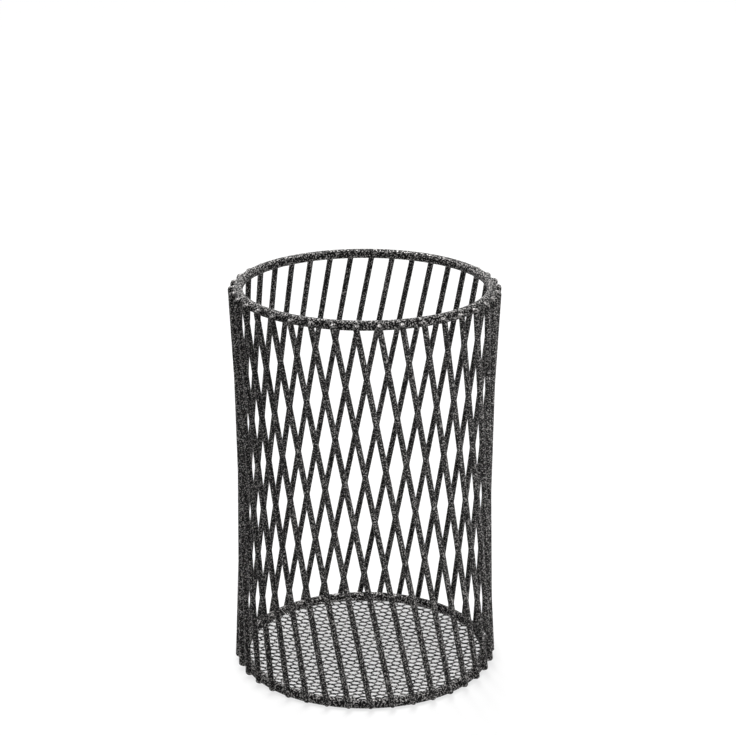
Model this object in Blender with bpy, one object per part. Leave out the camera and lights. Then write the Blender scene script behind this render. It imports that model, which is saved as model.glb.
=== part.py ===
"""Round wire cutlery basket: two rings, slanted wall wires and a floor of expanded metal.

The wall wires are straight rods. Each one runs from the outside of the top ring to the outside of the
bottom ring further round, so together they make a wall with a waist. The floor is a shallow dish of
expanded metal that sits inside the bottom ring. The origin is on the basket's axis, on the surface that
it stands on.
"""

import math

import bmesh
import bpy
from mathutils import Matrix, Vector

# Overall sizes, in metres and radians
BASKET_HEIGHT = 0.1788
RING_MEAN_RADIUS = 0.0556
RING_WIRE_RADIUS = 0.0022
WALL_WIRE_RADIUS = 0.00125
WALL_TWIST = math.radians(34.5)
FIRST_WIRE_ANGLE = math.radians(1.25)
WALL_WIRE_COUNT = 38

# Clearance left where the real pieces touch and are welded
WELD_GAP = 0.0003

# How far the wire ends pass the centre lines of the two rings, and how round they are
WIRE_REACH_ABOVE_TOP_RING = 0.0005
WIRE_REACH_BELOW_BOTTOM_RING = 0.0009
WIRE_DOME_HEIGHT = 0.0007

# The bottom ring is worn flat where it stands
FOOT_FLAT_DEPTH = 0.0002

# Floor: a dished disc of expanded metal with a plain rim. The openings are drawn about 1.6 times as large
# as the real ones, which are 6.9 by 3.9 mm from one to the next, to keep their number under three hundred.
SHEET_THICKNESS = 0.0006
FLOOR_RIM_WIDTH = 0.0012
FLOOR_RIM_RISE = 0.0003
FLOOR_DISH_DEPTH = 0.0015
CELL_LONG_PITCH = 0.0110
CELL_SHORT_PITCH = 0.0063
STRAND_WIDTH = 0.0012
CELL_ANGLE = math.radians(-12.6)

# Shares of the sizes that they follow
DISH_FLAT_RADIUS_share = 0.52
CELL_TIP_share = 0.34
KNUCKLE_WIDTH_share = 1.5
SMALLEST_OPENING_share = 0.1

# Facets: the rings have two for each wall wire
RING_FACETS = 2 * WALL_WIRE_COUNT
RING_PROFILE_FACETS = 12
WIRE_FACETS = 10
WIRE_DOME_STEPS = 2

TURN = 2 * math.pi
MERGE_share = 0.01
SHARP_EDGE = math.radians(50)

# Silver-veined black powder coat: linear colour, roughness and metallic value of each family of pieces.
# The top ring faces the light and shows more silver than the floor.
TOP_RING_COAT = ((0.070, 0.070, 0.073), 0.42, 0.45)
BOTTOM_RING_COAT = ((0.050, 0.050, 0.053), 0.45, 0.40)
WALL_WIRE_COAT = ((0.058, 0.058, 0.060), 0.44, 0.40)
FLOOR_COAT = ((0.045, 0.045, 0.046), 0.50, 0.35)


def powder_coat(name, coat):
    """Material of one family of pieces."""
    colour, roughness, metallic = coat
    material = bpy.data.materials.new(name)
    material.use_nodes = True
    shader = material.node_tree.nodes["Principled BSDF"]
    shader.inputs["Base Color"].default_value = (*colour, 1)
    shader.inputs["Roughness"].default_value = roughness
    shader.inputs["Metallic"].default_value = metallic
    material.diffuse_color = (*colour, 1)
    return material


def finished_mesh(name, bm, material):
    """Turn the bmesh into a mesh with faces pointing out, shaded smooth except at sharp edges."""
    bmesh.ops.recalc_face_normals(bm, faces=bm.faces)
    mesh = bpy.data.meshes.new(name)
    bm.to_mesh(mesh)
    bm.free()
    mesh.materials.append(material)
    mesh.shade_smooth()
    mesh.set_sharp_from_angle(angle=SHARP_EDGE)
    return mesh


def placed_object(name, mesh, parent):
    piece = bpy.data.objects.new(name, mesh)
    piece.parent = parent
    bpy.context.collection.objects.link(piece)
    return piece


def turned_about_axis(bm, profile, facets):
    """Spin a profile once round the Z axis and close it on itself."""
    centre = (0, 0, 0)
    bmesh.ops.spin(bm, geom=profile, cent=centre, axis=(0, 0, 1), angle=TURN, steps=facets, use_merge=True)


def ring_profile(flat_depth):
    """Cross-section of a ring's wire about its own centre: round, with a flat of the given depth below."""
    half_flat = math.acos((RING_WIRE_RADIUS - flat_depth) / RING_WIRE_RADIUS)
    if flat_depth == 0:
        half_flat = math.pi / RING_PROFILE_FACETS
    sweep = TURN - 2 * half_flat
    points = []
    for step in range(RING_PROFILE_FACETS):
        angle = -math.pi / 2 + half_flat + sweep * step / (RING_PROFILE_FACETS - 1)
        points.append((RING_WIRE_RADIUS * math.cos(angle), RING_WIRE_RADIUS * math.sin(angle)))
    return points


def ring_mesh(name, flat_depth, material):
    """A ring: its wire's cross-section spun about the basket's axis."""
    bm = bmesh.new()
    profile = [bm.verts.new((RING_MEAN_RADIUS + x, 0, z)) for x, z in ring_profile(flat_depth)]
    edges = [bm.edges.new(pair) for pair in zip(profile, profile[1:] + profile[:1])]
    turned_about_axis(bm, profile + edges, RING_FACETS)
    return finished_mesh(name, bm, material)


def wire_mesh(name, length, material):
    """A wall wire along Z about its own middle, turned from a profile with a dome at each end."""
    shoulder = length / 2 - WIRE_DOME_HEIGHT
    dome = []
    for step in range(WIRE_DOME_STEPS + 1):
        angle = math.pi / 2 * step / WIRE_DOME_STEPS
        dome.append((WALL_WIRE_RADIUS * math.cos(angle), shoulder + WIRE_DOME_HEIGHT * math.sin(angle)))
    dome[-1] = (0, length / 2)
    half_profile = [(radius, -height) for radius, height in reversed(dome)] + dome
    bm = bmesh.new()
    profile = [bm.verts.new((radius, 0, height)) for radius, height in half_profile]
    edges = [bm.edges.new(pair) for pair in zip(profile, profile[1:])]
    turned_about_axis(bm, profile + edges, WIRE_FACETS)
    bmesh.ops.remove_doubles(bm, verts=bm.verts, dist=WALL_WIRE_RADIUS * MERGE_share)
    return finished_mesh(name, bm, material)


def clipped_to_disc(outline, radius):
    """The part of a convex outline that lies inside a disc with as many sides as the rings."""
    limit = radius * math.cos(math.pi / RING_FACETS)
    for side in range(RING_FACETS):
        angle = TURN * (side + 0.5) / RING_FACETS
        outward = Vector((math.cos(angle), math.sin(angle)))
        kept = []
        for start, end in zip(outline, outline[1:] + outline[:1]):
            start_over = start.dot(outward) - limit
            end_over = end.dot(outward) - limit
            if start_over <= 0:
                kept.append(start)
            if start_over * end_over < 0:
                kept.append(start.lerp(end, start_over / (start_over - end_over)))
        outline = kept
    return outline


def outline_area(outline):
    doubled = sum(a.x * b.y - a.y * b.x for a, b in zip(outline, outline[1:] + outline[:1]))
    return abs(doubled) / 2


def cell_opening():
    """Corners of one opening about its own middle, with its long way along X.

    The sloping strands are one strand wide. The knuckles above and below, where two strands join, are wider.
    """
    half_short = CELL_SHORT_PITCH / 2
    tip = CELL_LONG_PITCH * CELL_TIP_share
    knuckle_end = CELL_LONG_PITCH / 2 - tip
    slope = math.hypot(tip - knuckle_end, half_short)
    inset = STRAND_WIDTH / 2 * slope / half_short
    top = half_short - STRAND_WIDTH * KNUCKLE_WIDTH_share / 2
    corner = tip - (tip - knuckle_end) * top / half_short - inset
    return [
        Vector((tip - inset, 0)),
        Vector((corner, top)),
        Vector((-corner, top)),
        Vector((inset - tip, 0)),
        Vector((-corner, -top)),
        Vector((corner, -top)),
    ]


def floor_openings(radius):
    """Outlines of the openings of the expanded metal inside a radius, in staggered rows."""
    opening = cell_opening()
    smallest = outline_area(opening) * SMALLEST_OPENING_share
    cosine, sine = math.cos(CELL_ANGLE), math.sin(CELL_ANGLE)
    rows = math.ceil(2 * radius / CELL_SHORT_PITCH)
    columns = math.ceil(radius / CELL_LONG_PITCH) + 1
    outlines = []
    for row in range(-rows, rows + 1):
        for column in range(-columns, columns + 1):
            stagger = row % 2 / 2
            middle = Vector(((column + stagger) * CELL_LONG_PITCH, row * CELL_SHORT_PITCH / 2))
            outline = []
            for corner in opening:
                x, y = middle + corner
                outline.append(Vector((x * cosine - y * sine, x * sine + y * cosine)))
            outline = clipped_to_disc(outline, radius)
            if len(outline) > 2 and outline_area(outline) > smallest:
                outlines.append(outline)
    return outlines


def dish_height(radius, flat_radius, rim_radius):
    """Height of the dished sheet below its rim: flat in the middle, then curving up to the rim."""
    way_up = min(max((radius - flat_radius) / (rim_radius - flat_radius), 0), 1)
    return FLOOR_DISH_DEPTH * (way_up * way_up - 1)


def floor_mesh(name, rim_height, material):
    """The floor: a perforated disc filled flat, thickened, then pressed into its dish."""
    disc_radius = RING_MEAN_RADIUS - RING_WIRE_RADIUS - WELD_GAP
    mesh_radius = disc_radius - FLOOR_RIM_WIDTH
    flat_radius = disc_radius * DISH_FLAT_RADIUS_share
    rim = []
    for side in range(RING_FACETS):
        angle = TURN * side / RING_FACETS
        rim.append(Vector((disc_radius * math.cos(angle), disc_radius * math.sin(angle))))
    bm = bmesh.new()
    for outline in [rim] + floor_openings(mesh_radius):
        loop = [bm.verts.new((*point, 0)) for point in outline]
        for pair in zip(loop, loop[1:] + loop[:1]):
            bm.edges.new(pair)
    bmesh.ops.triangle_fill(bm, edges=bm.edges, use_beauty=True, normal=(0, 0, 1))
    lifted = bmesh.ops.extrude_face_region(bm, geom=bm.faces[:])
    top = [item for item in lifted["geom"] if isinstance(item, bmesh.types.BMVert)]
    bmesh.ops.translate(bm, verts=top, vec=(0, 0, SHEET_THICKNESS))
    for vert in bm.verts:
        radius = math.hypot(vert.co.x, vert.co.y)
        vert.co.z += rim_height + dish_height(radius, flat_radius, mesh_radius)
    return finished_mesh(name, bm, material)


def add_rings(basket, bottom_height, top_height):
    top_coat = powder_coat("top_ring_coat", TOP_RING_COAT)
    bottom_coat = powder_coat("bottom_ring_coat", BOTTOM_RING_COAT)
    top_mesh = ring_mesh("top_ring", 0, top_coat)
    bottom_mesh = ring_mesh("bottom_ring", FOOT_FLAT_DEPTH, bottom_coat)
    placed_object("top_ring", top_mesh, basket).location.z = top_height
    placed_object("bottom_ring", bottom_mesh, basket).location.z = bottom_height


def add_wall_wires(basket, bottom_height, top_height):
    """The wall: one straight wire, repeated round the axis.

    Its centre line crosses the two ring planes at the same radius, and runs on a little past them.
    """
    crossing_radius = RING_MEAN_RADIUS + RING_WIRE_RADIUS + WELD_GAP + WALL_WIRE_RADIUS
    crossing_drop = top_height - bottom_height
    top_crossing = Vector((crossing_radius, 0, top_height))
    bottom_crossing = Matrix.Rotation(WALL_TWIST, 3, "Z") @ Vector((crossing_radius, 0, bottom_height))
    downward = bottom_crossing - top_crossing
    top_end = top_crossing - downward * WIRE_REACH_ABOVE_TOP_RING / crossing_drop
    bottom_end = bottom_crossing + downward * WIRE_REACH_BELOW_BOTTOM_RING / crossing_drop
    middle = (top_end + bottom_end) / 2
    lean = (top_end - bottom_end).to_track_quat("Z", "Y").to_matrix()
    wire_coat = powder_coat("wall_wire_coat", WALL_WIRE_COAT)
    shared_wire = wire_mesh("wall_wire", (top_end - bottom_end).length, wire_coat)
    for number in range(WALL_WIRE_COUNT):
        about_axis = Matrix.Rotation(FIRST_WIRE_ANGLE + TURN * number / WALL_WIRE_COUNT, 3, "Z")
        wire = placed_object(f"wall_wire_{number + 1:02d}", shared_wire, basket)
        wire.location = about_axis @ middle
        wire.rotation_euler = (about_axis @ lean).to_euler()


def add_floor(basket, bottom_height):
    """The floor sits just inside the bottom ring, its rim a little above the ring's centre line."""
    underside = bottom_height + FLOOR_RIM_RISE - SHEET_THICKNESS / 2
    sheet = floor_mesh("floor_mesh", underside, powder_coat("floor_mesh_coat", FLOOR_COAT))
    placed_object("floor_mesh", sheet, basket)


def main():
    for old in list(bpy.data.objects):
        bpy.data.objects.remove(old)
    basket = bpy.data.objects.new("basket_axis", None)
    bpy.context.collection.objects.link(basket)
    bottom_height = RING_WIRE_RADIUS - FOOT_FLAT_DEPTH
    top_height = BASKET_HEIGHT - RING_WIRE_RADIUS
    add_rings(basket, bottom_height, top_height)
    add_wall_wires(basket, bottom_height, top_height)
    add_floor(basket, bottom_height)


main()
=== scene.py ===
"""Visible surfaces of a round wire cutlery basket, laid over its packed parts.

The basket is two thick wire rings, a wall of slanted thinner wires welded round them and a dished floor
of expanded metal, all under one coat of silver vein powder. Lengths are in metres, with +Z up and the
origin on the basket's axis, on the surface that it stands on.
"""

import math

import bpy
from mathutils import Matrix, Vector


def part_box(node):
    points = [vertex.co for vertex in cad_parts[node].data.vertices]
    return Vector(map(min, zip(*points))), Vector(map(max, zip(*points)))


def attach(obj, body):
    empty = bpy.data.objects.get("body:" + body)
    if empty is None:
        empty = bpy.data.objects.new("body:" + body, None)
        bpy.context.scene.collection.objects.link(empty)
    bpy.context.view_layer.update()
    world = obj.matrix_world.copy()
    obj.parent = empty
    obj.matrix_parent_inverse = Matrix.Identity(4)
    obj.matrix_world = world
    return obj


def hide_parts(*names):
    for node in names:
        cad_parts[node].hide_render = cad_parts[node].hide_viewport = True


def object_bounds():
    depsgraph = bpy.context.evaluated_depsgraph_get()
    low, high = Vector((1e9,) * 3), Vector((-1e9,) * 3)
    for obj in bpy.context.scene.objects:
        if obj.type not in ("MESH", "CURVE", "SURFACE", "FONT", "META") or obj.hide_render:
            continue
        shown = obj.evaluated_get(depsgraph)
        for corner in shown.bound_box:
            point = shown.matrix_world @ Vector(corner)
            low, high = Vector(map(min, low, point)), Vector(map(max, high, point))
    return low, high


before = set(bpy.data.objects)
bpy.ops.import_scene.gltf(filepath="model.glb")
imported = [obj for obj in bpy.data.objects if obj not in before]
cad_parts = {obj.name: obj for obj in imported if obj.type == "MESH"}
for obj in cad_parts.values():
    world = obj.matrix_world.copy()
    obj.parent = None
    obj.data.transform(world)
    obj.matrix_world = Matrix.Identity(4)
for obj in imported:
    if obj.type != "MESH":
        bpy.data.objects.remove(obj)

bl_info = {
    "name": "Wire Cutlery Basket",
    "version": (1, 0, 0),
    "blender": (4, 5, 0),
    "location": "3D View > Sidebar > Basket",
    "description": "Makes the rings, wall wires, welds and floor mesh of a round wire cutlery basket",
    "category": "Object",
}

MM = 0.001
TURN = 2 * math.pi
BODY = "root"
WIRE_NUMBER = "wire_number"

# Size of the veins' bends and of their dull and bright patches, as shares of the vein spacing
VEIN_BEND_share = 0.7
VEIN_PATCH_share = 0.7
# How far a vein's edges fade, as a share of half its width
VEIN_EDGE_share = 0.4
# Levels of the patch noise, which averages a half, at which a vein is dullest and brightest
DULL_PATCH = 0.50
BRIGHT_PATCH = 0.60
NOISE_MIDDLE = (0.5, 0.5, 0.5)
# How many rounds of finer lumps ride on the coat's main ones
LUMP_DETAIL = 1.5
# How much the coat's skin mirrors: a fifth of what smooth epoxy does, because it is full of fine pits
COAT_SPECULAR = 0.1
EPOXY_ROUGHNESS = 0.55
VEIN_ROUGHNESS = 0.3

# How round the waves of the floor's strands are: 1 gives a cosine, and less gives longer knuckles
WAVE_ROUNDNESS_share = 0.27
# Width of a knuckle, where two strands meet, as a share of a strand's width
KNUCKLE_WIDTH_share = 1.5
# Thickness of the packed floor's sheet, as a share of the packed floor's height
FLOOR_SHEET_share = 0.286
# How much of the coat's relief the floor's fine strands take
FLOOR_RELIEF_share = 0.4

# Steps of the meshes, fine enough for the coat's lumps to show
RING_STEPS_ROUND = 720
RING_STEPS_ABOUT = 26
WIRE_STEPS_ALONG = 300
WIRE_STEPS_ABOUT = 14
WIRE_DOME_STEPS = 4
WELD_STEPS_ROUND = 20
WELD_STEPS_UP = 12
STRAND_STEPS_A_CELL = 16
STRAND_SIDES = 8
# Points of a wire's tip that lie closer than this are one point
TIP_MERGE_DISTANCE = 0.005 * MM

CAD_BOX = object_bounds()
WIRE_NODES = sorted(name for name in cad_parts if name.startswith("wall_wire_"))


def linear(hex_colour):
    """A hex sRGB colour as linear red, green, blue and alpha."""
    shares = [int(hex_colour[start:start + 2], 16) / 255 for start in (1, 3, 5)]
    return (*[s / 12.92 if s <= 0.04045 else ((s + 0.055) / 1.055) ** 2.4 for s in shares], 1.0)


def length(name, description, default):
    """A length that a user can change."""
    return bpy.props.FloatProperty(
        name=name, description=description, default=default, min=0, unit="LENGTH", precision=5
    )


def angle(name, description, default):
    """An angle that a user can change."""
    return bpy.props.FloatProperty(name=name, description=description, default=default, unit="ROTATION")


def power(name, description, default):
    """A lamp's power that a user can change."""
    return bpy.props.FloatProperty(name=name, description=description, default=default, min=0, unit="POWER")


def share(name, description, default):
    """A share from none to all that a user can change."""
    return bpy.props.FloatProperty(
        name=name, description=description, default=default, min=0, max=1, subtype="FACTOR"
    )


def colour(name, description, hex_colour):
    """A colour that a user can change."""
    return bpy.props.FloatVectorProperty(
        name=name, description=description, default=linear(hex_colour), size=4, min=0, max=1,
        subtype="COLOR",
    )


def wire_ends(node):
    """Lower and upper end of a packed wall wire's centre line.

    Its vertices lie evenly about that line, so the means of its lower and its upper half are points on it.
    """
    places = [vertex.co.copy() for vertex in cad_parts[node].data.vertices]
    low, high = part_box(node)
    halves = [
        [place for place in places if place.z < (low.z + high.z) / 2],
        [place for place in places if place.z >= (low.z + high.z) / 2],
    ]
    lower, upper = (sum(half, Vector()) / len(half) for half in halves)
    direction = (upper - lower).normalized()
    reaches = [(place - lower).dot(direction) for place in places]
    return lower + direction * min(reaches), lower + direction * max(reaches)


TOP_RING_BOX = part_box("top_ring")
FLOOR_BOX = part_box("floor_mesh")
FIRST_WIRE_ENDS = wire_ends(WIRE_NODES[0])


class BasketRings(bpy.types.PropertyGroup):
    """Sizes of the two rings"""

    wire_diameter: length("Wire diameter", "Thickness of the rings' wire", 4.4 * MM)
    mean_radius: length(
        "Mean radius",
        "From the basket's axis to the middle of a ring's wire",
        TOP_RING_BOX[1].x - (TOP_RING_BOX[1].z - TOP_RING_BOX[0].z) / 2,
    )
    top_height: length("Top height", "Height of the top ring's highest line", TOP_RING_BOX[1].z)
    foot_depth: length("Foot depth", "How deep the bottom ring is worn flat where it stands", 0.2 * MM)


class BasketWall(bpy.types.PropertyGroup):
    """Sizes of the wall wires and their welds"""

    wire_diameter: length("Wire diameter", "Thickness of a wall wire at the lumps of its coat", 2.7 * MM)
    end_rounding: length("End rounding", "Length over which a wire's end rounds off", 1.2 * MM)
    press_depth: length("Press depth", "How far welding presses a wire into the rings", 0.3 * MM)
    weld_width: length("Weld width", "Width of a weld along the ring", 3.0 * MM)
    weld_height: length("Weld height", "Height of a weld", 2.5 * MM)
    weld_thickness: length("Weld thickness", "Thickness of a weld from the ring's wire outwards", 4.4 * MM)


class BasketFloor(bpy.types.PropertyGroup):
    """Sizes of the expanded-metal floor"""

    long_pitch: length("Long pitch", "From cell to cell the long way", 6.85 * MM)
    short_pitch: length("Short pitch", "From cell to cell the short way", 3.9 * MM)
    strand_width: length("Strand width", "Width of one strand of the sheet", 0.76 * MM)
    thickness: length("Thickness", "Thickness of the sheet", 0.42 * MM)
    edge_reach: length("Edge reach", "How far the strands reach into the bottom ring", 0.8 * MM)
    flat_radius: length("Flat radius", "Radius of the flat middle of the dish", 27.7 * MM)
    cell_angle: angle("Cell angle", "Turn of the cells' long way from the X axis", math.radians(-12.6))
    strand_tilt: angle("Strand tilt", "Tilt that expanding leaves in each strand", math.radians(14))


class BasketCoat(bpy.types.PropertyGroup):
    """Look of the silver vein powder coat"""

    ground: colour("Ground", "Colour of the black epoxy", "#0e0d0d")
    vein: colour("Vein", "Colour of the brightest aluminium veins", "#dedbd9")
    vein_spacing: length("Vein spacing", "From vein to vein", 1.1 * MM)
    vein_width: length("Vein width", "Width of one vein", 0.36 * MM)
    vein_height: length("Vein height", "How far a vein stands above the epoxy", 0.10 * MM)
    wire_fineness: share("Wire fineness", "Vein spacing on the wall wires, against that on the rings", 0.84)
    # Painted shade: duller, flatter veins on the wall wires than on the rings, for the wires' shade
    wire_painted_shade_dullest: share("Wire dullest", "How bright the dullest vein on the wall wires is", 0.05)
    wire_painted_shade_thinning: share("Wire thinning", "How far the veins thin out on the wall wires", 0.013)
    flake_share: share("Flake share", "How much of a vein's surface is bare aluminium flake", 0.08)
    # Painted highlight: fuller, brighter veins on the welds than elsewhere, for the light on their knobs
    weld_painted_highlight_fullness: share("Weld fullness", "How far the veins fill up on the welds", 0.09)
    relief: length("Relief", "How deep the coat's lumps are", 0.10 * MM)
    lump_spacing: length("Lump spacing", "From lump to lump", 1.8 * MM)


class BasketStage(bpy.types.PropertyGroup):
    """Floor and light"""

    ground: colour("Floor", "Colour of the floor", "#dcdcdc")
    overhead: power("Overhead", "Power of the softbox above and behind the basket", 10.0)
    left_back: power("Left back", "Power of the softbox behind the basket on the left", 0.2)
    left_front: power("Left front", "Power of the softbox before the basket on the left", 0.05)
    right_front: power("Right front", "Power of the low lamp before the basket on the right", 0.2)
    room_light: share("Room light", "Strength of the room's even light on the basket", 0.0)


GROUPS = {
    "basket_rings": BasketRings,
    "basket_wall": BasketWall,
    "basket_floor": BasketFloor,
    "basket_coat": BasketCoat,
    "basket_stage": BasketStage,
}


def add_node(tree, kind, inputs=None, **settings):
    """Add a node. Inputs maps a socket's name or number to a value, or to the node or socket that feeds it.

    A node feeds through its first output.
    """
    node = tree.nodes.new(kind)
    for field, value in settings.items():
        setattr(node, field, value)
    for key, value in (inputs or {}).items():
        source = value.outputs[0] if isinstance(value, bpy.types.Node) else value
        if isinstance(source, bpy.types.NodeSocket):
            tree.links.new(source, node.inputs[key])
        else:
            node.inputs[key].default_value = source
    return node


def silver_vein_coat(name, coat, fineness=1.0, dullest=0.0, fullness=0.0):
    """Silver vein powder coat: black epoxy and aluminium flake, baked in one film.

    As the film cures, the aluminium gathers into thin raised veins that run crookedly round black islands
    about a millimetre wide. The eye sees a black wire under a fine pale grey net, bright and broken where
    the surface faces the light and dim where it doesn't.

    Fineness is the veins' spacing against that on the rings: a thinner film has finer veins. Dullest is how
    bright the dullest vein is. Fullness lowers the levels of the patches, so that fewer veins are dull, and
    below zero it raises them. The wall wires' duller, flatter veins are painted shade, and the welds'
    fuller veins a painted highlight.
    """
    spacing = coat.vein_spacing * fineness
    half_vein = coat.vein_width / coat.vein_spacing / 2
    material = bpy.data.materials.new(name)
    material.use_nodes = True
    tree = material.node_tree
    shader = tree.nodes["Principled BSDF"]
    place = add_node(tree, "ShaderNodeTexCoord").outputs["Object"]
    wander = add_node(
        tree, "ShaderNodeTexNoise", {"Vector": place, "Scale": 1 / (VEIN_BEND_share * spacing)}
    ).outputs["Color"]
    centred = add_node(tree, "ShaderNodeVectorMath", {0: wander, 1: NOISE_MIDDLE}, operation="SUBTRACT")
    bent = add_node(
        tree, "ShaderNodeVectorMath", {0: centred, 1: (spacing,) * 3, 2: place}, operation="MULTIPLY_ADD"
    )
    islands = add_node(
        tree, "ShaderNodeTexVoronoi", {"Vector": bent, "Scale": 1 / spacing}, feature="DISTANCE_TO_EDGE"
    )
    vein = add_node(
        tree, "ShaderNodeMapRange",
        {
            "Value": islands.outputs["Distance"],
            "From Min": half_vein * (1 - VEIN_EDGE_share),
            "From Max": half_vein * (1 + VEIN_EDGE_share),
            "To Min": 1.0,
            "To Max": 0.0,
        },
        interpolation_type="SMOOTHSTEP",
    )
    patches = add_node(
        tree, "ShaderNodeTexNoise", {"Vector": place, "Scale": 1 / (VEIN_PATCH_share * spacing)}
    )
    silver = add_node(
        tree, "ShaderNodeMapRange",
        {
            "Value": patches,
            "From Min": DULL_PATCH - fullness,
            "From Max": BRIGHT_PATCH - fullness,
            "To Min": dullest,
            "To Max": 1.0,
        },
    )
    shine = add_node(tree, "ShaderNodeMath", {0: vein, 1: silver}, operation="MULTIPLY")
    # A Mix node's colours are its sockets 6 and 7, and the mixed colour is its output 2
    shade = add_node(
        tree, "ShaderNodeMix", {0: shine, 6: tuple(coat.ground), 7: tuple(coat.vein)}, data_type="RGBA"
    )
    gloss = add_node(
        tree, "ShaderNodeMapRange", {"Value": shine, "To Min": EPOXY_ROUGHNESS, "To Max": VEIN_ROUGHNESS}
    )
    metal = add_node(tree, "ShaderNodeMath", {0: shine, 1: coat.flake_share}, operation="MULTIPLY")
    bump = add_node(tree, "ShaderNodeBump", {"Strength": 1.0, "Distance": coat.vein_height, "Height": vein})
    tree.links.new(shade.outputs[2], shader.inputs["Base Color"])
    tree.links.new(gloss.outputs[0], shader.inputs["Roughness"])
    tree.links.new(metal.outputs[0], shader.inputs["Metallic"])
    tree.links.new(bump.outputs[0], shader.inputs["Normal"])
    shader.inputs["Specular IOR Level"].default_value = COAT_SPECULAR
    return material


def new_tree(name, sizes):
    """A node tree with named inputs for its sizes. Returns it with its input node and its output node."""
    tree = bpy.data.node_groups.new(name, "GeometryNodeTree")
    for label, kind in sizes.items():
        tree.interface.new_socket(name=label, in_out="INPUT", socket_type=kind)
    tree.interface.new_socket(name="Geometry", in_out="OUTPUT", socket_type="NodeSocketGeometry")
    return tree, tree.nodes.new("NodeGroupInput"), tree.nodes.new("NodeGroupOutput")


COAT_SIZES = {
    "Relief": "NodeSocketFloat",
    "Lump spacing": "NodeSocketFloat",
    "Material": "NodeSocketMaterial",
}


def add_coat_finish(tree, geometry, given):
    """Sink the surface along its normals by the coat's lumps, shade it smooth and give it its material."""
    scale = add_node(tree, "ShaderNodeMath", {0: 1.0, 1: given.outputs["Lump spacing"]}, operation="DIVIDE")
    place = add_node(tree, "GeometryNodeInputPosition")
    lumps = add_node(tree, "ShaderNodeTexNoise", {"Vector": place, "Scale": scale, "Detail": LUMP_DETAIL})
    depth = add_node(
        tree, "ShaderNodeMath", {0: lumps.outputs[0], 1: given.outputs["Relief"]}, operation="MULTIPLY"
    )
    inward = add_node(tree, "ShaderNodeMath", {0: depth, 1: -1.0}, operation="MULTIPLY")
    normal = add_node(tree, "GeometryNodeInputNormal")
    shift = add_node(tree, "ShaderNodeVectorMath", {0: normal, 3: inward}, operation="SCALE")
    coated = add_node(tree, "GeometryNodeSetPosition", {"Geometry": geometry, "Offset": shift})
    smooth = add_node(tree, "GeometryNodeSetShadeSmooth", {"Geometry": coated})
    return add_node(
        tree, "GeometryNodeSetMaterial", {"Geometry": smooth, "Material": given.outputs["Material"]}
    )


def ring_tree():
    """A ring of coated round wire, worn flat where it would reach below the surface that it stands on."""
    tree, given, made = new_tree("ring", {
        "Mean radius": "NodeSocketFloat",
        "Wire radius": "NodeSocketFloat",
        "Height": "NodeSocketFloat",
        "Steps round": "NodeSocketInt",
        "Steps about": "NodeSocketInt",
        **COAT_SIZES,
    })
    line = add_node(
        tree, "GeometryNodeCurvePrimitiveCircle",
        {"Resolution": given.outputs["Steps round"], "Radius": given.outputs["Mean radius"]},
    )
    section = add_node(
        tree, "GeometryNodeCurvePrimitiveCircle",
        {"Resolution": given.outputs["Steps about"], "Radius": given.outputs["Wire radius"]},
    )
    tube = add_node(tree, "GeometryNodeCurveToMesh", {"Curve": line, "Profile Curve": section})
    lift = add_node(tree, "ShaderNodeCombineXYZ", {"Z": given.outputs["Height"]})
    lifted = add_node(tree, "GeometryNodeTransform", {"Geometry": tube, "Translation": lift})
    solid = add_node(tree, "GeometryNodeRealizeInstances", {"Geometry": lifted})
    coated = add_coat_finish(tree, solid, given)
    place = add_node(tree, "GeometryNodeInputPosition")
    apart = add_node(tree, "ShaderNodeSeparateXYZ", {0: place})
    above = add_node(tree, "ShaderNodeMath", {0: apart.outputs["Z"], 1: 0.0}, operation="MAXIMUM")
    standing = add_node(
        tree, "ShaderNodeCombineXYZ", {"X": apart.outputs["X"], "Y": apart.outputs["Y"], "Z": above}
    )
    worn = add_node(tree, "GeometryNodeSetPosition", {"Geometry": coated, "Position": standing})
    tree.links.new(worn.outputs[0], made.inputs[0])
    return tree


def dome_shape(tree, steps_in, dome_steps):
    """Cosine and sine of how far round a wire's dome a point is: from 0 at the tip to a quarter turn."""
    quarter = add_node(tree, "ShaderNodeMath", {0: TURN / 4, 1: dome_steps}, operation="DIVIDE")
    capped = add_node(tree, "ShaderNodeMath", {0: steps_in, 1: dome_steps}, operation="MINIMUM")
    rise = add_node(tree, "ShaderNodeMath", {0: capped, 1: quarter}, operation="MULTIPLY")
    cosine = add_node(tree, "ShaderNodeMath", {0: rise}, operation="COSINE")
    sine = add_node(tree, "ShaderNodeMath", {0: rise}, operation="SINE")
    return cosine, sine


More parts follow.
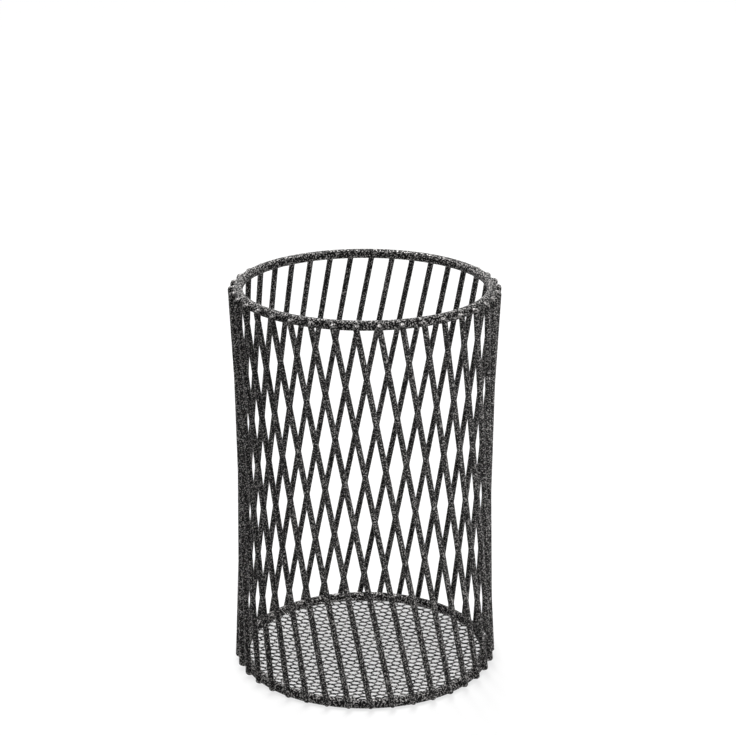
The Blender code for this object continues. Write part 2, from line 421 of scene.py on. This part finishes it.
def wire_line(tree, given):
    """One wall wire's centre line, with points crowded in both domes, and how thick the wire is at each."""
    lower, upper = given.outputs["Lower end"], given.outputs["Upper end"]
    steps, dome = given.outputs["Steps along"], given.outputs["Dome steps"]
    rounding = given.outputs["End rounding"]
    index = add_node(tree, "GeometryNodeInputIndex")
    last = add_node(tree, "ShaderNodeMath", {0: steps, 1: 1.0}, operation="SUBTRACT")
    from_top = add_node(tree, "ShaderNodeMath", {0: last, 1: index}, operation="SUBTRACT")
    low_cosine, low_sine = dome_shape(tree, index, dome)
    high_cosine, high_sine = dome_shape(tree, from_top, dome)
    thickness = add_node(tree, "ShaderNodeMath", {0: low_sine, 1: high_sine}, operation="MULTIPLY")
    dome_end = add_node(tree, "ShaderNodeMath", {0: last, 1: dome}, operation="SUBTRACT")
    middle = add_node(
        tree, "ShaderNodeMapRange",
        {"Value": index, "From Min": dome, "From Max": dome_end, "To Min": 0.0, "To Max": 1.0},
    )
    apart = add_node(tree, "ShaderNodeVectorMath", {0: upper, 1: lower}, operation="DISTANCE")
    span = apart.outputs["Value"]
    # The straight middle is the whole span less the two domes
    straight = add_node(tree, "ShaderNodeMath", {0: rounding, 1: -2.0, 2: span}, operation="MULTIPLY_ADD")
    domes = add_node(tree, "ShaderNodeMath", {0: high_cosine, 1: low_cosine}, operation="SUBTRACT")
    in_domes = add_node(
        tree, "ShaderNodeMath", {0: domes, 1: rounding, 2: rounding}, operation="MULTIPLY_ADD"
    )
    reach = add_node(
        tree, "ShaderNodeMath", {0: middle, 1: straight, 2: in_domes}, operation="MULTIPLY_ADD"
    )
    way_up = add_node(tree, "ShaderNodeMath", {0: reach, 1: span}, operation="DIVIDE")
    whole = add_node(tree, "ShaderNodeVectorMath", {0: upper, 1: lower}, operation="SUBTRACT")
    along = add_node(tree, "ShaderNodeVectorMath", {0: whole, 3: way_up}, operation="SCALE")
    place = add_node(tree, "ShaderNodeVectorMath", {0: lower, 1: along}, operation="ADD")
    line = add_node(tree, "GeometryNodeCurvePrimitiveLine", {"Start": lower, "End": upper})
    points = add_node(tree, "GeometryNodeResampleCurve", {"Curve": line, "Count": steps})
    return add_node(tree, "GeometryNodeSetPosition", {"Geometry": points, "Position": place}), thickness


def wall_wire_tree():
    """All wall wires: one straight wire with domed ends, repeated round the axis and numbered."""
    tree, given, made = new_tree("wall_wires", {
        "Lower end": "NodeSocketVector",
        "Upper end": "NodeSocketVector",
        "Wire radius": "NodeSocketFloat",
        "End rounding": "NodeSocketFloat",
        "Count": "NodeSocketInt",
        "Steps along": "NodeSocketInt",
        "Steps about": "NodeSocketInt",
        "Dome steps": "NodeSocketInt",
        **COAT_SIZES,
    })
    line, thickness = wire_line(tree, given)
    section = add_node(
        tree, "GeometryNodeCurvePrimitiveCircle",
        {"Resolution": given.outputs["Steps about"], "Radius": given.outputs["Wire radius"]},
    )
    tube = add_node(
        tree, "GeometryNodeCurveToMesh", {"Curve": line, "Profile Curve": section, "Scale": thickness}
    )
    wire = add_node(tree, "GeometryNodeMergeByDistance", {"Geometry": tube, "Distance": TIP_MERGE_DISTANCE})
    spots = add_node(tree, "GeometryNodePoints", {"Count": given.outputs["Count"]})
    number = add_node(tree, "GeometryNodeInputIndex")
    step = add_node(tree, "ShaderNodeMath", {0: TURN, 1: given.outputs["Count"]}, operation="DIVIDE")
    turned = add_node(tree, "ShaderNodeMath", {0: number, 1: step}, operation="MULTIPLY")
    about_axis = add_node(tree, "ShaderNodeCombineXYZ", {"Z": turned})
    copies = add_node(
        tree, "GeometryNodeInstanceOnPoints", {"Points": spots, "Instance": wire, "Rotation": about_axis}
    )
    numbered = add_node(
        tree, "GeometryNodeStoreNamedAttribute",
        {"Geometry": copies, "Name": WIRE_NUMBER, "Value": number},
        data_type="INT", domain="INSTANCE",
    )
    solid = add_node(tree, "GeometryNodeRealizeInstances", {"Geometry": numbered})
    tree.links.new(add_coat_finish(tree, solid, given).outputs[0], made.inputs[0])
    return tree


def weld_tree():
    """Welds round one ring: a knob of melted wire on the ring, round the end of each wall wire."""
    tree, given, made = new_tree("welds", {
        "First weld": "NodeSocketVector",
        "Half sizes": "NodeSocketVector",
        "Count": "NodeSocketInt",
        **COAT_SIZES,
    })
    ball = add_node(
        tree, "GeometryNodeMeshUVSphere",
        {"Segments": WELD_STEPS_ROUND, "Rings": WELD_STEPS_UP, "Radius": 1.0},
    )
    bead = add_node(tree, "GeometryNodeTransform", {"Geometry": ball, "Scale": given.outputs["Half sizes"]})
    apart = add_node(tree, "ShaderNodeSeparateXYZ", {0: given.outputs["First weld"]})
    first = add_node(
        tree, "ShaderNodeMath", {0: apart.outputs["Y"], 1: apart.outputs["X"]}, operation="ARCTAN2"
    )
    step = add_node(tree, "ShaderNodeMath", {0: TURN, 1: given.outputs["Count"]}, operation="DIVIDE")
    number = add_node(tree, "GeometryNodeInputIndex")
    turned = add_node(tree, "ShaderNodeMath", {0: number, 1: step}, operation="MULTIPLY")
    heading = add_node(tree, "ShaderNodeMath", {0: turned, 1: first}, operation="ADD")
    place = add_node(
        tree, "ShaderNodeVectorRotate", {"Vector": given.outputs["First weld"], "Angle": turned},
        rotation_type="Z_AXIS",
    )
    spots = add_node(tree, "GeometryNodePoints", {"Count": given.outputs["Count"], "Position": place})
    facing = add_node(tree, "ShaderNodeCombineXYZ", {"Z": heading})
    copies = add_node(
        tree, "GeometryNodeInstanceOnPoints", {"Points": spots, "Instance": bead, "Rotation": facing}
    )
    solid = add_node(tree, "GeometryNodeRealizeInstances", {"Geometry": copies})
    tree.links.new(add_coat_finish(tree, solid, given).outputs[0], made.inputs[0])
    return tree


def floor_rows(tree, given):
    """Straight rows of points across the floor, each cut to the floor's circle."""
    row_pitch, radius = given.outputs["Row pitch"], given.outputs["Radius"]
    last_row = add_node(tree, "ShaderNodeMath", {0: given.outputs["Rows"], 1: 1.0}, operation="SUBTRACT")
    width = add_node(tree, "ShaderNodeMath", {0: last_row, 1: row_pitch}, operation="MULTIPLY")
    # The rows lie evenly about the middle
    first_row = add_node(tree, "ShaderNodeMath", {0: width, 1: -0.5}, operation="MULTIPLY")
    start = add_node(tree, "ShaderNodeCombineXYZ", {"Y": first_row})
    offset = add_node(tree, "ShaderNodeCombineXYZ", {"Y": row_pitch})
    rows = add_node(
        tree, "GeometryNodeMeshLine",
        {"Count": given.outputs["Rows"], "Start Location": start, "Offset": offset},
    )
    # A line from -1 to 1 along X, which half a row's chord then scales
    line = add_node(tree, "GeometryNodeCurvePrimitiveLine", {"Start": (-1, 0, 0), "End": (1, 0, 0)})
    copies = add_node(tree, "GeometryNodeInstanceOnPoints", {"Points": rows, "Instance": line})
    lines = add_node(tree, "GeometryNodeRealizeInstances", {"Geometry": copies})
    apart = add_node(tree, "ShaderNodeSeparateXYZ", {0: add_node(tree, "GeometryNodeInputPosition")})
    across, aside = apart.outputs["X"], apart.outputs["Y"]
    radius_squared = add_node(tree, "ShaderNodeMath", {0: radius, 1: radius}, operation="MULTIPLY")
    aside_squared = add_node(tree, "ShaderNodeMath", {0: aside, 1: aside}, operation="MULTIPLY")
    chord_squared = add_node(
        tree, "ShaderNodeMath", {0: radius_squared, 1: aside_squared}, operation="SUBTRACT"
    )
    half_chord = add_node(tree, "ShaderNodeMath", {0: chord_squared}, operation="SQRT")
    end = add_node(tree, "ShaderNodeMath", {0: across, 1: half_chord}, operation="MULTIPLY")
    trimmed = add_node(
        tree, "GeometryNodeSetPosition",
        {"Geometry": lines, "Position": add_node(tree, "ShaderNodeCombineXYZ", {"X": end, "Y": aside})},
    )
    return add_node(
        tree, "GeometryNodeResampleCurve", {"Curve": trimmed, "Length": given.outputs["Point spacing"]},
        mode="LENGTH",
    )


def waved_rows(tree, rows, given):
    """The rows bent to waves, so that each touches its neighbours by turns, and turned to their angle."""
    row_pitch = given.outputs["Row pitch"]
    apart = add_node(tree, "ShaderNodeSeparateXYZ", {0: add_node(tree, "GeometryNodeInputPosition")})
    across, aside = apart.outputs["X"], apart.outputs["Y"]
    cell = add_node(tree, "ShaderNodeMath", {0: across, 1: given.outputs["Long pitch"]}, operation="DIVIDE")
    row = add_node(tree, "ShaderNodeMath", {0: aside, 1: row_pitch}, operation="DIVIDE")
    # Each row's waves start half a cell after its neighbour's
    phase = add_node(tree, "ShaderNodeMath", {0: row, 1: 0.5, 2: cell}, operation="MULTIPLY_ADD")
    wave_turn = add_node(tree, "ShaderNodeMath", {0: phase, 1: TURN}, operation="MULTIPLY")
    swing = add_node(tree, "ShaderNodeMath", {0: wave_turn}, operation="COSINE")
    swing_squared = add_node(tree, "ShaderNodeMath", {0: swing, 1: swing}, operation="MULTIPLY")
    flattened = add_node(
        tree, "ShaderNodeMath",
        {0: swing_squared, 1: 1 - WAVE_ROUNDNESS_share, 2: WAVE_ROUNDNESS_share}, operation="MULTIPLY_ADD",
    )
    root = add_node(tree, "ShaderNodeMath", {0: flattened}, operation="SQRT")
    wave = add_node(tree, "ShaderNodeMath", {0: swing, 1: root}, operation="DIVIDE")
    # What a knuckle leaves of the row pitch is the room that a strand swings in
    room = add_node(
        tree, "ShaderNodeMath",
        {0: given.outputs["Strand width"], 1: 1 - KNUCKLE_WIDTH_share, 2: row_pitch},
        operation="MULTIPLY_ADD",
    )
    half_room = add_node(tree, "ShaderNodeMath", {0: room, 1: 0.5}, operation="MULTIPLY")
    bulge = add_node(tree, "ShaderNodeMath", {0: wave, 1: half_room, 2: aside}, operation="MULTIPLY_ADD")
    flat_place = add_node(tree, "ShaderNodeCombineXYZ", {"X": across, "Y": bulge})
    turned = add_node(
        tree, "ShaderNodeVectorRotate", {"Vector": flat_place, "Angle": given.outputs["Cell angle"]},
        rotation_type="Z_AXIS",
    )
    return add_node(tree, "GeometryNodeSetPosition", {"Geometry": rows, "Position": turned})


def dished_strands(tree, strands, given):
    """The strands lifted into the dish: level in the middle, then ever steeper up to the rim."""
    place = add_node(tree, "GeometryNodeInputPosition")
    out = add_node(tree, "ShaderNodeVectorMath", {0: place}, operation="LENGTH").outputs["Value"]
    way_up = add_node(
        tree, "ShaderNodeMapRange",
        {
            "Value": out,
            "From Min": given.outputs["Flat radius"],
            "From Max": given.outputs["Rim radius"],
            "To Min": 0.0,
            "To Max": 1.0,
        },
    )
    curve_up = add_node(tree, "ShaderNodeMath", {0: way_up, 1: way_up}, operation="MULTIPLY")
    # From -1 in the middle to 0 at the rim
    below_rim = add_node(tree, "ShaderNodeMath", {0: curve_up, 1: 1.0}, operation="SUBTRACT")
    height = add_node(
        tree, "ShaderNodeMath",
        {0: below_rim, 1: given.outputs["Dish depth"], 2: given.outputs["Rim height"]},
        operation="MULTIPLY_ADD",
    )
    lift = add_node(tree, "ShaderNodeCombineXYZ", {"Z": height})
    return add_node(tree, "GeometryNodeSetPosition", {"Geometry": strands, "Offset": lift})


def strand_section(tree, given):
    """Outline of a strand: an octagon, as wide and as thick as the strand."""
    half_side = TURN / STRAND_SIDES / 2
    octagon = add_node(
        tree, "GeometryNodeCurvePrimitiveCircle",
        {"Resolution": STRAND_SIDES, "Radius": 0.5 / math.cos(half_side)},
    )
    squared = add_node(tree, "GeometryNodeTransform", {"Geometry": octagon, "Rotation": (0, 0, half_side)})
    size = add_node(
        tree, "ShaderNodeCombineXYZ",
        {"X": given.outputs["Strand width"], "Y": given.outputs["Thickness"], "Z": 1.0},
    )
    return add_node(tree, "GeometryNodeTransform", {"Geometry": squared, "Scale": size})


def floor_tree():
    """Expanded metal, pressed to a dish: wavy strands that touch their neighbours by turns."""
    tree, given, made = new_tree("expanded_metal", {
        "Radius": "NodeSocketFloat",
        "Flat radius": "NodeSocketFloat",
        "Rim radius": "NodeSocketFloat",
        "Rim height": "NodeSocketFloat",
        "Dish depth": "NodeSocketFloat",
        "Long pitch": "NodeSocketFloat",
        "Row pitch": "NodeSocketFloat",
        "Rows": "NodeSocketInt",
        "Strand width": "NodeSocketFloat",
        "Thickness": "NodeSocketFloat",
        "Strand tilt": "NodeSocketFloat",
        "Cell angle": "NodeSocketFloat",
        "Point spacing": "NodeSocketFloat",
        **COAT_SIZES,
    })
    strands = dished_strands(tree, waved_rows(tree, floor_rows(tree, given), given), given)
    level = add_node(tree, "GeometryNodeSetCurveNormal", {"Curve": strands}, mode="Z_UP")
    tilted = add_node(
        tree, "GeometryNodeSetCurveTilt", {"Curve": level, "Tilt": given.outputs["Strand tilt"]}
    )
    tube = add_node(
        tree, "GeometryNodeCurveToMesh",
        {"Curve": tilted, "Profile Curve": strand_section(tree, given), "Fill Caps": True},
    )
    solid = add_node(tree, "GeometryNodeRealizeInstances", {"Geometry": tube})
    tree.links.new(add_coat_finish(tree, solid, given).outputs[0], made.inputs[0])
    return tree


def grown(name, tree, values):
    """The mesh that a node tree makes from these values, as a plain object at the origin."""
    seed = bpy.data.objects.new(name + "_seed", bpy.data.meshes.new(name + "_seed"))
    bpy.context.scene.collection.objects.link(seed)
    modifier = seed.modifiers.new("Shape", "NODES")
    modifier.node_group = tree
    sockets = {item.name: item.identifier for item in tree.interface.items_tree if item.in_out == "INPUT"}
    for label, value in values.items():
        modifier[sockets[label]] = value
    seed.update_tag()
    view = bpy.context.evaluated_depsgraph_get()
    mesh = bpy.data.meshes.new_from_object(seed.evaluated_get(view))
    mesh.name = name
    piece = bpy.data.objects.new(name, mesh)
    bpy.context.scene.collection.objects.link(piece)
    seed_mesh = seed.data
    bpy.data.objects.remove(seed)
    bpy.data.meshes.remove(seed_mesh)
    if not mesh.polygons:
        raise RuntimeError(f"{name} came out empty")
    return piece


def taken_apart(whole, context):
    """The loose pieces of an object's mesh, each as an object of its own."""
    for other in context.selected_objects:
        other.select_set(False)
    whole.select_set(True)
    context.view_layer.objects.active = whole
    bpy.ops.object.mode_set(mode="EDIT")
    bpy.ops.mesh.select_all(action="SELECT")
    bpy.ops.mesh.separate(type="LOOSE")
    bpy.ops.object.mode_set(mode="OBJECT")
    pieces = context.selected_objects
    for piece in pieces:
        piece.select_set(False)
    return pieces


def coat_values(coat, material, relief_share=1.0):
    """Values of the inputs that every coated piece has."""
    return {
        "Relief": coat.relief * relief_share,
        "Lump spacing": coat.lump_spacing,
        "Material": material,
    }


def ring_heights(rings):
    """Heights of the two rings' centre lines."""
    wire_radius = rings.wire_diameter / 2
    return wire_radius - rings.foot_depth, rings.top_height - wire_radius


def pressed_ends(rings, wall):
    """Ends of the first wall wire's centre line, moved in until the wire is pressed into both rings."""
    lower, upper = FIRST_WIRE_ENDS
    contact = rings.mean_radius + (rings.wire_diameter + wall.wire_diameter) / 2 - wall.press_depth
    crossings = []
    for height in ring_heights(rings):
        crossing = lower.lerp(upper, (height - lower.z) / (upper.z - lower.z))
        out = contact / crossing.to_2d().length
        crossings.append(Vector((crossing.x * out, crossing.y * out, height)))
    rise = crossings[1].z - crossings[0].z
    slant = (crossings[1] - crossings[0]) / rise
    return (
        crossings[0] + slant * (lower.z - crossings[0].z),
        crossings[1] + slant * (upper.z - crossings[1].z),
    )


class BASKET_OT_rings(bpy.types.Operator):
    """Make the top ring and the bottom ring"""

    bl_idname = "basket.rings"
    bl_label = "Rings"

    def execute(self, context):
        rings, coat = context.scene.basket_rings, context.scene.basket_coat
        material = silver_vein_coat("silver_vein_coat_rings", coat)
        tree = ring_tree()
        for name, height in zip(("bottom_ring", "top_ring"), ring_heights(rings)):
            ring = grown("coated_" + name, tree, {
                "Mean radius": rings.mean_radius,
                "Wire radius": rings.wire_diameter / 2,
                "Height": height,
                "Steps round": RING_STEPS_ROUND,
                "Steps about": RING_STEPS_ABOUT,
                **coat_values(coat, material),
            })
            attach(ring, BODY)
            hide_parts(name)
        return {"FINISHED"}


class BASKET_OT_wall_wires(bpy.types.Operator):
    """Make the slanted wires of the wall, each as its own piece"""

    bl_idname = "basket.wall_wires"
    bl_label = "Wall wires"

    def execute(self, context):
        scene = context.scene
        wall, coat = scene.basket_wall, scene.basket_coat
        lower, upper = pressed_ends(scene.basket_rings, wall)
        # The wall wires' copy of the coat, duller and flatter as painted shade
        material = silver_vein_coat(
            "silver_vein_coat_wires", coat, coat.wire_fineness, coat.wire_painted_shade_dullest, -coat.wire_painted_shade_thinning
        )
        wires = taken_apart(grown("coated_wall_wires", wall_wire_tree(), {
            "Lower end": lower,
            "Upper end": upper,
            "Wire radius": wall.wire_diameter / 2,
            "End rounding": wall.end_rounding,
            "Count": len(WIRE_NODES),
            "Steps along": WIRE_STEPS_ALONG,
            "Steps about": WIRE_STEPS_ABOUT,
            "Dome steps": WIRE_DOME_STEPS,
            **coat_values(coat, material),
        }), context)
        if len(wires) != len(WIRE_NODES):
            raise RuntimeError(f"{len(wires)} wires came apart, not {len(WIRE_NODES)}")
        for wire in wires:
            node = WIRE_NODES[wire.data.attributes[WIRE_NUMBER].data[0].value]
            wire.name = wire.data.name = "coated_" + node
            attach(wire, BODY)
            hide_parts(node)
        return {"FINISHED"}


class BASKET_OT_welds(bpy.types.Operator):
    """Make the welds between the wall wires and each ring"""

    bl_idname = "basket.welds"
    bl_label = "Welds"

    def execute(self, context):
        scene = context.scene
        rings, wall, coat = scene.basket_rings, scene.basket_wall, scene.basket_coat
        lower, upper = pressed_ends(rings, wall)
        # The welds' copy of the coat, with fuller veins as a painted highlight
        material = silver_vein_coat("silver_vein_coat_welds", coat, fullness=coat.weld_painted_highlight_fullness)
        tree = weld_tree()
        for name, height in zip(("bottom_welds", "top_welds"), ring_heights(rings)):
            crossing = lower.lerp(upper, (height - lower.z) / (upper.z - lower.z))
            out = (rings.mean_radius + rings.wire_diameter / 2) / crossing.to_2d().length
            welds = grown("coated_" + name, tree, {
                "First weld": (crossing.x * out, crossing.y * out, height),
                "Half sizes": (wall.weld_thickness / 2, wall.weld_width / 2, wall.weld_height / 2),
                "Count": len(WIRE_NODES),
                **coat_values(coat, material),
            })
            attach(welds, BODY)
        return {"FINISHED"}


class BASKET_OT_floor(bpy.types.Operator):
    """Make the dished floor of expanded metal"""

    bl_idname = "basket.floor"
    bl_label = "Floor mesh"

    def execute(self, context):
        scene = context.scene
        rings, floor, coat = scene.basket_rings, scene.basket_floor, scene.basket_coat
        inside = rings.mean_radius - rings.wire_diameter / 2
        radius = inside + floor.edge_reach
        row_pitch = floor.short_pitch / 2
        low, high = FLOOR_BOX
        half_sheet = (high.z - low.z) * FLOOR_SHEET_share / 2
        middle_height, rim_height = low.z + half_sheet, high.z - half_sheet
        material = silver_vein_coat("silver_vein_coat_floor", coat)
        sheet = grown("coated_floor_mesh", floor_tree(), {
            "Radius": radius,
            "Flat radius": floor.flat_radius,
            "Rim radius": inside,
            "Rim height": rim_height,
            "Dish depth": rim_height - middle_height,
            "Long pitch": floor.long_pitch,
            "Row pitch": row_pitch,
            "Rows": 2 * int(radius / row_pitch) + 1,
            "Strand width": floor.strand_width,
            "Thickness": floor.thickness,
            "Strand tilt": floor.strand_tilt,
            "Cell angle": floor.cell_angle,
            "Point spacing": floor.long_pitch / STRAND_STEPS_A_CELL,
            **coat_values(coat, material, FLOOR_RELIEF_share),
        })
        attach(sheet, BODY)
        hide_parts("floor_mesh")
        return {"FINISHED"}


def add_softbox(name, place, target, width, height, watts):
    """A rectangular soft lamp that faces a point."""
    data = bpy.data.lights.new(name, "AREA")
    data.shape = "RECTANGLE"
    data.size, data.size_y = width, height
    data.energy = watts
    lamp = bpy.data.objects.new(name, data)
    lamp.location = place
    lamp.rotation_euler = (target - place).to_track_quat("-Z", "Y").to_euler()
    bpy.context.scene.collection.objects.link(lamp)


def seen_directly(tree):
    """1 for what the camera sees, also mirrored or through glass, and 0 for the light on the basket."""
    path = add_node(tree, "ShaderNodeLightPath")
    mirrored = add_node(
        tree, "ShaderNodeMath",
        {0: path.outputs["Is Glossy Ray"], 1: path.outputs["Is Transmission Ray"]}, operation="MAXIMUM",
    )
    return add_node(
        tree, "ShaderNodeMath", {0: path.outputs["Is Camera Ray"], 1: mirrored}, operation="MAXIMUM"
    )


# Side of the square of paper
PAPER_SIZE = 12.0
# Distances from the basket's axis between which the paper's white changes, and the whites that it has:
# a painted shadow, greyer under the basket, where the basket keeps the light off, and full white far from
# it
PAPER_UNDER_FROM = 52 * MM
PAPER_UNDER_TO = 66 * MM
PAPER_FAR_FROM = 250 * MM
PAPER_FAR_TO = 1200 * MM
# Painted shadow: the paper's white under the basket
PAPER_PAINTED_SHADOW_WHITE = 0.65
PAPER_BESIDE_WHITE = 0.89
PAPER_FAR_WHITE = 1.0
# What the camera sees of the light and the shadow on the paper
PAPER_SHADE = (0.2, 0.2, 0.2, 1)


def pale_floor_material(stage):
    """Seamless white paper: a matt sheet, which shows its own white to the camera and in reflections.

    Under the basket that white is greyer, as a painted shadow.
    """
    material = bpy.data.materials.new("seamless_paper")
    material.use_nodes = True
    tree = material.node_tree
    tree.nodes.remove(tree.nodes["Principled BSDF"])
    place = add_node(tree, "ShaderNodeTexCoord").outputs["Object"]
    out = add_node(tree, "ShaderNodeVectorMath", {0: place}, operation="LENGTH").outputs["Value"]
    # Painted shadow: a greyer white under the basket, fading to the white beside it
    white_with_painted_shadow = add_node(
        tree, "ShaderNodeMapRange",
        {
            "Value": out,
            "From Min": PAPER_UNDER_FROM,
            "From Max": PAPER_UNDER_TO,
            "To Min": PAPER_PAINTED_SHADOW_WHITE,
            "To Max": PAPER_BESIDE_WHITE,
        },
        interpolation_type="SMOOTHSTEP",
    )
    glow = add_node(
        tree, "ShaderNodeMapRange",
        {
            "Value": out,
            "From Min": PAPER_FAR_FROM,
            "From Max": PAPER_FAR_TO,
            "To Min": white_with_painted_shadow,
            "To Max": PAPER_FAR_WHITE,
        },
        interpolation_type="SMOOTHSTEP",
    )
    paper = add_node(tree, "ShaderNodeBsdfDiffuse", {"Color": tuple(stage.ground)})
    shown = add_node(tree, "ShaderNodeBsdfDiffuse", {"Color": PAPER_SHADE})
    white = add_node(tree, "ShaderNodeEmission", {"Strength": glow})
    seen = add_node(tree, "ShaderNodeAddShader", {0: shown, 1: white})
    mix = add_node(tree, "ShaderNodeMixShader", {0: seen_directly(tree), 1: paper, 2: seen})
    tree.links.new(mix.outputs[0], tree.nodes["Material Output"].inputs["Surface"])
    return material


def light_world(stage):
    """The room: plain white to the camera and in reflections, and as bright as it is set for the rest."""
    world = bpy.data.worlds.new("studio")
    world.use_nodes = True
    tree = world.node_tree
    background = tree.nodes["Background"]
    strength = add_node(
        tree, "ShaderNodeMapRange",
        {"Value": seen_directly(tree), "To Min": stage.room_light, "To Max": 1.0},
    )
    tree.links.new(strength.outputs[0], background.inputs["Strength"])
    background.inputs["Color"].default_value = (1, 1, 1, 1)
    bpy.context.scene.world = world


# Each softbox, under the name of the setting for its power: where it stands, its width and its height
SOFTBOXES = {
    "overhead": (Vector((-0.08, 0.35, 0.9)), 0.35, 0.35),
    "left_back": (Vector((-0.8, 0.6, 0.35)), 0.4, 0.6),
    "left_front": (Vector((-0.8, -0.6, 0.35)), 0.4, 0.6),
    "right_front": (Vector((0.22, -0.22, 0.12)), 0.15, 0.1),
}

# The photograph's view: where the camera stands, how far it looks down, and its lens on a 36 mm sensor
CAMERA_PLACE = Vector((1.42, -875.13, 435.93)) * MM
CAMERA_PITCH = math.radians(18.73)
CAMERA_LENS_MM = 101.68
SENSOR_WIDTH_MM = 36.0


class BASKET_OT_stage(bpy.types.Operator):
    """Set the floor, the light and the camera"""

    bl_idname = "basket.stage"
    bl_label = "Stage"

    def execute(self, context):
        stage = context.scene.basket_stage
        bpy.ops.mesh.primitive_plane_add(size=PAPER_SIZE)
        ground = context.active_object
        ground.name = "studio_floor"
        ground.data.materials.append(pale_floor_material(stage))
        light_world(stage)
        middle = Vector((0, 0, CAD_BOX[1].z / 2))
        for name, (place, width, height) in SOFTBOXES.items():
            add_softbox(name + "_softbox", place, middle, width, height, getattr(stage, name))
        lens = bpy.data.cameras.new("front_camera")
        lens.sensor_width = SENSOR_WIDTH_MM
        lens.lens = CAMERA_LENS_MM
        camera = bpy.data.objects.new("front_camera", lens)
        camera.location = CAMERA_PLACE
        camera.rotation_euler = (TURN / 4 - CAMERA_PITCH, 0, 0)
        context.scene.collection.objects.link(camera)
        context.scene.camera = camera
        context.scene.view_settings.view_transform = "Standard"
        return {"FINISHED"}


OPERATORS = (BASKET_OT_rings, BASKET_OT_wall_wires, BASKET_OT_welds, BASKET_OT_floor, BASKET_OT_stage)


class BASKET_PT_panel(bpy.types.Panel):
    """Sizes, colours and steps of the basket"""

    bl_idname = "BASKET_PT_panel"
    bl_label = "Wire Cutlery Basket"
    bl_space_type = "VIEW_3D"
    bl_region_type = "UI"
    bl_category = "Basket"

    def draw(self, context):
        for attribute, group in GROUPS.items():
            box = self.layout.box()
            box.label(text=group.__doc__)
            for field in group.__annotations__:
                box.prop(getattr(context.scene, attribute), field)
        for operator in OPERATORS:
            self.layout.operator(operator.bl_idname)


def register():
    for group in GROUPS.values():
        bpy.utils.register_class(group)
    for attribute, group in GROUPS.items():
        setattr(bpy.types.Scene, attribute, bpy.props.PointerProperty(type=group))
    for shown in (*OPERATORS, BASKET_PT_panel):
        bpy.utils.register_class(shown)


def unregister():
    for shown in (BASKET_PT_panel, *reversed(OPERATORS)):
        bpy.utils.unregister_class(shown)
    for attribute in GROUPS:
        delattr(bpy.types.Scene, attribute)
    for group in reversed(GROUPS.values()):
        bpy.utils.unregister_class(group)


def main():
    register()
    bpy.ops.basket.rings()
    bpy.ops.basket.wall_wires()
    bpy.ops.basket.welds()
    bpy.ops.basket.floor()
    bpy.ops.basket.stage()


if __name__ == "__main__":
    main()
